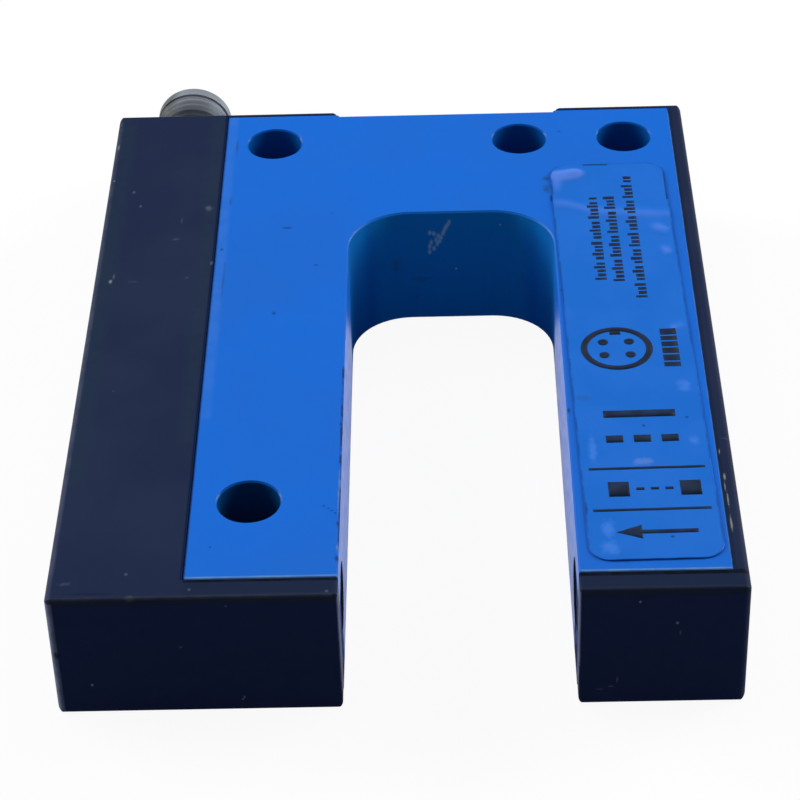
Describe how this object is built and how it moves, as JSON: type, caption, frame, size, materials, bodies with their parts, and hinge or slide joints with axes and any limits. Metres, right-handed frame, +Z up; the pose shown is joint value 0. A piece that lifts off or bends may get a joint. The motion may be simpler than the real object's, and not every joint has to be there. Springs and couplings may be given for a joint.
{
  "type": "fork sensor",
  "caption": "Flat U-shaped through-beam fork sensor: blue body with mounting holes, dark receiver housing with a round rear plug, dark emitter cover and a printed film.",
  "frame": {"origin": "on the underside, midway between the two outer rear mounting holes", "axes": "+X from the receiver arm to the emitter arm, +Y to the rear where the plug stands out, +Z up through the top face"},
  "size_m": [0.0586, 0.0862, 0.0129],
  "materials": {
    "blue_paint": "satin blue paint on cast aluminium",
    "dark_plastic": "matte dark navy moulded plastic",
    "label_film": "thin blue film with dark print",
    "filter_plastic": "very dark red filter plastic",
    "black_plastic": "black moulded plastic",
    "lens_plastic": "clear moulded plastic",
    "plate_steel": "thin rolled steel",
    "chip_plastic": "moulded black package",
    "board_laminate": "green glass-fibre laminate",
    "can_aluminium": "drawn can",
    "wire_jacket": "soft insulated wire",
    "plug_metal": "dull nickel-plated brass",
    "contact_brass": "gold-plated contacts",
    "seal_rubber": "black seal rubber"
  },
  "bodies": {
    "root": {"fork_body": "blue_paint", "receiver_housing": "dark_plastic", "emitter_cover": "dark_plastic", "receiver_gasket": "seal_rubber", "emitter_gasket": "seal_rubber", "label_film": "label_film", "receiver_window": "filter_plastic", "receiver_holder": "black_plastic", "receiver_lens": "lens_plastic", "aperture_plate": "plate_steel", "photodiode": "chip_plastic", "emitter_window": "filter_plastic", "emitter_holder": "black_plastic", "emitter_lens": "lens_plastic", "emitter_led": "lens_plastic", "main_board": "board_laminate", "controller_chip": "chip_plastic", "output_driver": "chip_plastic", "board_capacitors": "can_aluminium", "board_resistors": "chip_plastic", "emitter_board": "board_laminate", "emitter_resistors": "chip_plastic", "link_wires": "wire_jacket", "plug_shell": "plug_metal", "plug_insert": "black_plastic", "plug_pins": "contact_brass", "plug_seal": "seal_rubber", "plug_leads": "wire_jacket"}
  },
  "joints": []
}
